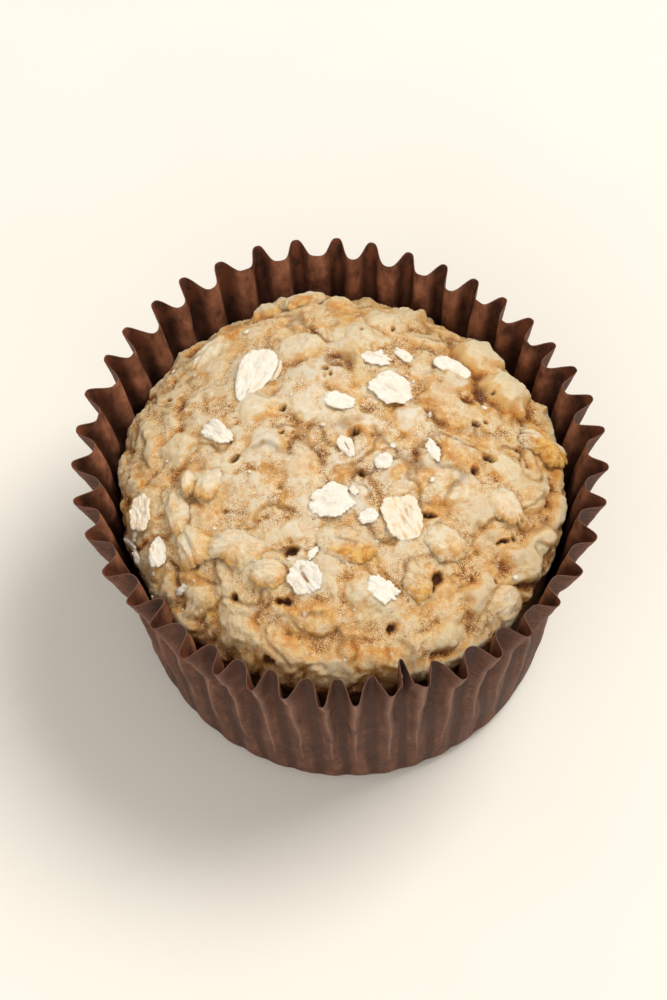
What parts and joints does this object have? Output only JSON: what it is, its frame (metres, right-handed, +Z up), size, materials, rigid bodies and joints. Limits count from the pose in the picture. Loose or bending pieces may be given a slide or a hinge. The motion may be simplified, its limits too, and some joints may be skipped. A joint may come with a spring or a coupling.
{
  "type": "oat muffin in a paper baking case",
  "caption": "Domed oat muffin with raw oat flakes on its lumpy crown, baked in a flared pleated brown paper case with a flat floor to stand on.",
  "frame": {"origin": "on the surface the case stands on, under the middle of its rim", "axes": "+Z up through the crown; -Y is the side the object is seen from, +X to the right of it"},
  "size_m": [0.0716, 0.0718, 0.0425],
  "materials": {
    "muffin_crumb": "moist baked oat crumb, matt, tan with paler oat lumps and toasted patches",
    "case_paper": "brown greaseproof paper, faint satin sheen, pleated"
  },
  "bodies": {
    "root": {"muffin": "muffin_crumb", "paper_case": "case_paper"}
  },
  "joints": []
}
